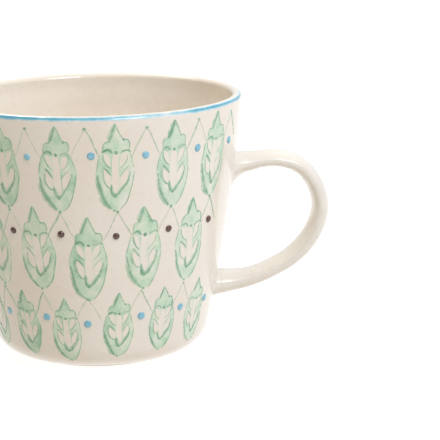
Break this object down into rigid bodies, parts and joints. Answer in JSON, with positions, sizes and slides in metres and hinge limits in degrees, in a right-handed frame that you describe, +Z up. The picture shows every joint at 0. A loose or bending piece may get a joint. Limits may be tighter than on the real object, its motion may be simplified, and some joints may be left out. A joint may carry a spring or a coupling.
{
  "type": "mug",
  "caption": "Glazed stoneware mug with a tapered cup on a foot ring, an ear-shaped strap handle, a blue rim line and stamped green ornament with raised beads.",
  "frame": {"origin": "centre of the whole mug's footprint box, on the surface that the foot ring stands on; the cup's own axis is 14.9 mm from it towards -X", "axes": "+X towards the handle, +Z up, the handle lies in the XZ plane"},
  "size_m": [0.1298, 0.1, 0.089],
  "materials": {
    "cup_glaze": "warm cream clear glaze over pale stoneware, glossy, faint specks",
    "handle_glaze": "cream glaze, glossy, a little lighter than the cup",
    "joint_slip": "smoothed clay slip under the same cream glaze",
    "rim_blue_glaze": "hand-painted light blue glaze line, glossy, uneven depth",
    "blue_bead_glaze": "raised blue glaze bead, glossy",
    "brown_bead_glaze": "raised dark brown glaze bead, very glossy",
    "green_wash_glaze": "thin watery green glaze wash of the stamped ornament, glossy",
    "green_line_glaze": "darker green glaze pooled in the stamp's lines, glossy",
    "bare_stoneware": "unglazed stoneware of the foot ring, matt, fine grain"
  },
  "bodies": {
    "root": {"cup_body": "cup_glaze", "rim_band": "rim_blue_glaze", "handle": "handle_glaze", "upper_slip_joint": "joint_slip", "lower_slip_joint": "joint_slip", "blue_bead_upper_01": "blue_bead_glaze", "blue_bead_upper_02": "blue_bead_glaze", "blue_bead_upper_03": "blue_bead_glaze", "blue_bead_upper_04": "blue_bead_glaze", "blue_bead_upper_05": "blue_bead_glaze", "blue_bead_upper_06": "blue_bead_glaze", "blue_bead_upper_07": "blue_bead_glaze", "blue_bead_upper_08": "blue_bead_glaze", "blue_bead_upper_09": "blue_bead_glaze", "blue_bead_upper_10": "blue_bead_glaze", "blue_bead_upper_11": "blue_bead_glaze", "blue_bead_upper_12": "blue_bead_glaze", "blue_bead_upper_13": "blue_bead_glaze", "blue_bead_upper_14": "blue_bead_glaze", "brown_bead_01": "brown_bead_glaze", "brown_bead_02": "brown_bead_glaze", "brown_bead_03": "brown_bead_glaze", "brown_bead_04": "brown_bead_glaze", "brown_bead_05": "brown_bead_glaze", "brown_bead_06": "brown_bead_glaze", "brown_bead_07": "brown_bead_glaze", "brown_bead_08": "brown_bead_glaze", "brown_bead_09": "brown_bead_glaze", "brown_bead_10": "brown_bead_glaze", "brown_bead_11": "brown_bead_glaze", "brown_bead_12": "brown_bead_glaze", "brown_bead_13": "brown_bead_glaze", "blue_bead_lower_01": "blue_bead_glaze", "blue_bead_lower_02": "blue_bead_glaze", "blue_bead_lower_03": "blue_bead_glaze", "blue_bead_lower_04": "blue_bead_glaze", "blue_bead_lower_05": "blue_bead_glaze", "blue_bead_lower_06": "blue_bead_glaze", "blue_bead_lower_07": "blue_bead_glaze", "blue_bead_lower_08": "blue_bead_glaze", "blue_bead_lower_09": "blue_bead_glaze", "blue_bead_lower_10": "blue_bead_glaze", "blue_bead_lower_11": "blue_bead_glaze", "blue_bead_lower_12": "blue_bead_glaze", "blue_bead_lower_13": "blue_bead_glaze", "blue_bead_lower_14": "blue_bead_glaze"}
  },
  "joints": []
}
